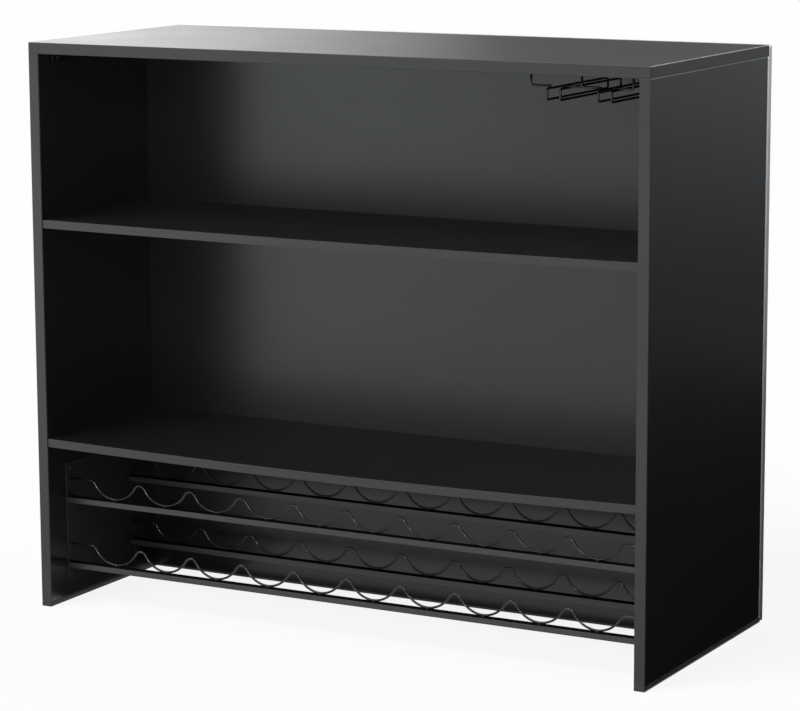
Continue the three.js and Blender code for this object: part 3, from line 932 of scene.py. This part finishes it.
@dataclass
class StemRack:
    """Wire rails in pairs under the worktop, on two hangers with screws."""

    finishes: FinishSet
    wire_radius: float = 2.0 * MM
    bend: float = 5.0 * MM
    strip_thickness: float = 2.0 * MM
    strip_edge: float = 0.5 * MM
    strip_overhang: float = 15.0 * MM
    slot_pitch: float = 92.0 * MM
    slot_gap: float = 20.0 * MM
    screw_head: RecessedHead = RecessedHead()
    screws_per_hanger: int = 2
    rails: int = 4

    def rail(self, node: str) -> None:
        """One rail: a long loop of wire on edge, butted together at the rear."""
        low, high = box_of(node)
        x = float(low[0] + high[0]) / 2
        front, rear = low[1] + self.wire_radius, high[1] - self.wire_radius
        bottom, top = low[2] + self.wire_radius, high[2] - self.wire_radius
        middle = (bottom + top) / 2
        loop = [(x, rear, middle), (x, rear, top), (x, front, top), (x, front, bottom), (x, rear, bottom),
                (x, rear, middle)]
        tube = wire_tube(bent_path(loop, self.bend), self.wire_radius, (1, 0, 0))
        add_piece(tube, [node], self.finishes.wire, False)

    def hanger(self, row: str) -> None:
        """One hanger: a strip on the worktop's underside, with a bent wire down to each rail."""
        node = f"stem_hanger_{row}"
        low, high = box_of(node)
        y = float(low[1] + high[1]) / 2
        strip_low = (low[0], low[1], high[2] - self.strip_thickness)
        parts = [rounded_board(strip_low, tuple(high), self.strip_edge, Axis.X)]
        arm = float(box_of("stem_rail_1")[1][2]) + self.wire_radius
        root = float(high[2]) - self.strip_thickness / 2
        first = low[0] + self.strip_overhang + self.slot_pitch / 2
        for slot in (first, first + self.slot_pitch):
            for sign in HANDS.values():
                drop = slot + sign * self.slot_pitch / 2
                tip = slot + sign * self.slot_gap / 2
                path = bent_path([(drop, y, root), (drop, y, arm), (tip, y, arm)], self.bend)
                parts.append(wire_tube(path, self.wire_radius, (0, 1, 0)))
        add_piece(Surface.joined(parts), [node], self.finishes.wire, False)

    def build(self) -> None:
        """Builds the rails, the hangers and their screws."""
        for number in range(1, self.rails + 1):
            self.rail(f"stem_rail_{number}")
        for row in ROWS:
            self.hanger(row)
            underside = float(box_of(f"stem_hanger_{row}")[1][2]) - self.strip_thickness
            for number in range(1, self.screws_per_hanger + 1):
                node = f"stem_screw_{row}_{number}"
                low, high = box_of(node)
                seat = ((low[0] + high[0]) / 2, (low[1] + high[1]) / 2, underside)
                head = self.screw_head.surface(seat, (0, 0, -1))
                add_piece(head, [node], self.finishes.wire, False)


@dataclass
class CornerBrackets:
    """Black zinc-plated angles between the sides and the worktop, with two screws each."""

    finishes: FinishSet
    sheet: float = 2.0 * MM
    edge: float = 0.5 * MM
    screw_head: RecessedHead = RecessedHead()

    def build(self) -> None:
        """Builds both brackets and their screws."""
        zinc = self.finishes.black_zinc
        for hand, sign in HANDS.items():
            low, high = box_of(f"corner_bracket_{hand}")
            outer = high[0] if sign > 0 else low[0]
            inner = outer - sign * self.sheet
            side_low = (min(outer, inner), low[1], low[2])
            side_high = (max(outer, inner), high[1], high[2])
            top_low = (low[0], low[1], high[2] - self.sheet)
            legs = [
                rounded_board(side_low, side_high, self.edge, Axis.Y),
                rounded_board(top_low, tuple(high), self.edge, Axis.Y),
            ]
            add_piece(Surface.joined(legs), [f"corner_bracket_{hand}"], zinc)
            self.screw(f"bracket_side_screw_{hand}", Axis.X, inner, (-sign, 0, 0))
            self.screw(f"bracket_top_screw_{hand}", Axis.Z, high[2] - self.sheet, (0, 0, -1))

    def screw(self, node: str, axis: Axis, seat_at: float, facing: Point) -> None:
        """One screw head.

        Args:
            node: the screw's node.
            axis: the screw's direction.
            seat_at: where its seat lies along that direction.
            facing: the way that its head looks.
        """
        low, high = box_of(node)
        seat = (low + high) / 2
        seat[axis.value] = seat_at
        head = self.screw_head.surface(tuple(seat), facing)
        add_piece(head, [node], self.finishes.black_zinc, False)


# Studio


def stage_sheet(name: str, corners: list[Point], material: bpy.types.Material) -> bpy.types.Object:
    """A flat four-cornered sheet that belongs to the stage.

    Args:
        name: the sheet's name.
        corners: its corners in order.
        material: what it is made of.

    Returns:
        The sheet's object.
    """
    mesh = bpy.data.meshes.new(name)
    mesh.from_pydata(corners, [], [(0, 1, 2, 3)])
    mesh.materials.append(material)
    sheet = bpy.data.objects.new(name, mesh)
    bpy.context.scene.collection.objects.link(sheet)
    LOG.info("%s: stage", name)
    return sheet


def seen_share(tree: bpy.types.NodeTree) -> bpy.types.NodeSocket:
    """Tells what is seen, by the camera or in a reflection or through a clear piece, from what only lights.

    Args:
        tree: the nodes that the test is added to.

    Returns:
        A socket that is 1 for what is seen and 0 for light.
    """
    ray = tree.nodes.new("ShaderNodeLightPath")
    seen = ray.outputs["Is Camera Ray"]
    for way in ("Is Glossy Ray", "Is Transmission Ray"):
        either = tree.nodes.new("ShaderNodeMath")
        either.operation = "MAXIMUM"
        tree.links.new(seen, either.inputs[0])
        tree.links.new(ray.outputs[way], either.inputs[1])
        seen = either.outputs[0]
    return seen


@dataclass(frozen=True)
class ReflectorCard:
    """A card that only reflections see, between two edges that run along X.

    The foot and the head are each edge's place along Y and Z. The brightness runs from the first level to
    the second over a span of one axis, and is even where the two levels are the same.
    """

    name: str
    x: tuple[float, float]
    foot: tuple[float, float]
    head: tuple[float, float]
    levels: tuple[float, float]
    axis: Axis = Axis.X
    span: tuple[float, float] = (0.0, 1.0)
    tint: Colour = WHITE

    def material(self) -> bpy.types.Material:
        """The card's glow."""
        graph = ShaderGraph(self.name)
        split = graph.node("ShaderNodeSeparateXYZ", {"Vector": graph.place})
        inputs = {
            "Value": split.outputs[self.axis.name],
            "From Min": self.span[0],
            "From Max": self.span[1],
            "To Min": self.levels[0],
            "To Max": self.levels[1],
        }
        level = graph.node("ShaderNodeMapRange", inputs, interpolation_type="LINEAR").outputs["Result"]
        glow = graph.node("ShaderNodeEmission", {"Color": (*self.tint, 1), "Strength": level})
        return graph.show(glow.outputs[0])

    def build(self) -> None:
        """Builds the card as part of the stage."""
        left, right = self.x
        corners = [(left, *self.foot), (right, *self.foot), (right, *self.head), (left, *self.head)]
        card = stage_sheet(self.name, corners, self.material())
        card.visible_camera = False
        card.visible_diffuse = False
        card.visible_shadow = False
        card.visible_transmission = False


@dataclass
class Studio:
    """A white floor, a white surround, one soft key light, cards for the satin boards to reflect and painted
    shade cards.
    """

    floor_half: float = 40.0
    floor_white: float = 0.95
    seen_white: float = 0.88
    surround_level: float = 0.42
    key_strength: float = 2.3
    key_spread: float = 34.0
    key_from: Point = (-0.42, -0.62, 0.80)
    cards: tuple[ReflectorCard, ...] = (
        ReflectorCard("rear_card", (-6, 0.4), (3, 0.02), (3, 3.2), levels=(2.2, 0.2), span=(-2.7, -1.3)),
        ReflectorCard("side_card", (0.4, 6), (3, 0.02), (3, 1.8), levels=(0.0, 0.5), axis=Axis.Z,
                      span=(0.05, 0.9), tint=COOL_WHITE),
        ReflectorCard("rim_card", (0.4, 2.6), (3, 1.8), (3, 3.2), levels=(7.0, 7.0)),
        # painted shade: a black sheet seen only in reflections, for the floor in the counter's shadow
        ReflectorCard("floor_shade_card", (0.601, 8), (-1, 0.002), (2.95, 0.002), levels=(0.0, 0.0)),
        # painted shade: dark sheets seen only in reflections, for the floor under the counter
        ReflectorCard("toe_shade_card", (-0.57, 0.57), (0.045, 0.004), (0.085, 0.004), levels=(0.02, 0.02)),
        ReflectorCard("left_toe_card", (-0.575, -0.42), (-0.2, 0.004), (0.045, 0.004), levels=(0.05, 0.05)),
        ReflectorCard("front_card", (-4.5, 0.4), (-1.2, 0.004), (-4.6, 1.3), levels=(2.45, 1.5),
                      span=(-2.2, -0.7), tint=COOL_WHITE),
        ReflectorCard("dim_card", (-6, -0.2), (-4.65, 1.3), (-4.65, 4.5), levels=(0.05, 0.05)),
        ReflectorCard("brow_card", (0.65, 1.55), (-3.7, 1.9), (-3.35, 2.45), levels=(45.0, 45.0)),
    )

    def floor(self) -> None:
        """The floor: white to the camera and in reflections, with a share of its own shading for shadows."""
        graph = ShaderGraph("floor_white")
        white = (self.floor_white, self.floor_white, self.floor_white, 1)
        graph.dress({}, {"Base Color": white, "Roughness": 1.0, "Specular IOR Level": 0.0})
        inputs = {0: seen_share(graph.tree), 1: self.seen_white}
        share = graph.node("ShaderNodeMath", inputs, operation="MULTIPLY").outputs[0]
        glow = graph.node("ShaderNodeEmission", {"Strength": 1.0}).outputs[0]
        mix = graph.node("ShaderNodeMixShader", {0: share, 1: graph.shader.outputs[0], 2: glow})
        h = self.floor_half
        stage_sheet("floor", [(-h, -h, 0), (h, -h, 0), (h, h, 0), (-h, h, 0)], graph.show(mix.outputs[0]))

    def surround(self) -> None:
        """The surround: white to the camera and in reflections, and a plain level as light."""
        world = bpy.data.worlds.new("surround")
        bpy.context.scene.world = world
        world.use_nodes = True
        tree = world.node_tree
        level = tree.nodes.new("ShaderNodeMapRange")
        level.inputs["To Min"].default_value = self.surround_level
        level.inputs["To Max"].default_value = 1.0
        tree.links.new(seen_share(tree), level.inputs["Value"])
        background = tree.nodes["Background"]
        background.inputs["Color"].default_value = (*WHITE, 1)
        tree.links.new(level.outputs["Result"], background.inputs["Strength"])

    def key(self) -> None:
        """The key light: a broad soft source from the front left, above."""
        data = bpy.data.lights.new("key", "SUN")
        data.energy = self.key_strength
        data.angle = math.radians(self.key_spread)
        lamp = bpy.data.objects.new("key", data)
        lamp.rotation_mode = "QUATERNION"
        lamp.rotation_quaternion = Vector(self.key_from).to_track_quat("Z", "Y")
        bpy.context.scene.collection.objects.link(lamp)

    def build(self) -> None:
        """Builds the studio."""
        bpy.context.scene.view_settings.view_transform = "Standard"
        self.floor()
        self.surround()
        self.key()
        for card in self.cards:
            card.build()


@dataclass
class PhotoCamera:
    """The photograph's camera: its place, where it looks, and its lens."""

    place: Point = (2.571, -4.6918, 1.4257)
    azimuth: float = 28.667
    elevation: float = 10.11
    roll: float = -0.24
    lens_mm: float = 137.645
    sensor_mm: float = 36.0

    def build(self) -> None:
        """Builds the camera and makes it the scene's own."""
        a, e, r = (math.radians(angle) for angle in (self.azimuth, self.elevation, self.roll))
        back = Vector((math.sin(a) * math.cos(e), -math.cos(a) * math.cos(e), math.sin(e)))
        level = Vector((math.cos(a), math.sin(a), 0))
        upright = back.cross(level)
        right = level * math.cos(r) + upright * math.sin(r)
        up = upright * math.cos(r) - level * math.sin(r)
        data = bpy.data.cameras.new("photo_camera")
        data.sensor_width = self.sensor_mm
        data.lens = self.lens_mm
        camera = bpy.data.objects.new("photo_camera", data)
        turn = Matrix((right, up, back)).transposed().to_4x4()
        camera.matrix_world = Matrix.Translation(Vector(self.place)) @ turn
        bpy.context.scene.collection.objects.link(camera)
        bpy.context.scene.camera = camera


def main() -> None:
    """Builds the counter, the studio and the camera."""
    logging.basicConfig(level=logging.INFO, format="%(name)s %(message)s")
    finishes = FinishSet()
    for assembly in (Carcass, Shelves, CradleRack, StemRack, CornerBrackets):
        assembly(finishes).build()
    Studio().build()
    PhotoCamera().build()


if __name__ == "__main__":
    main()
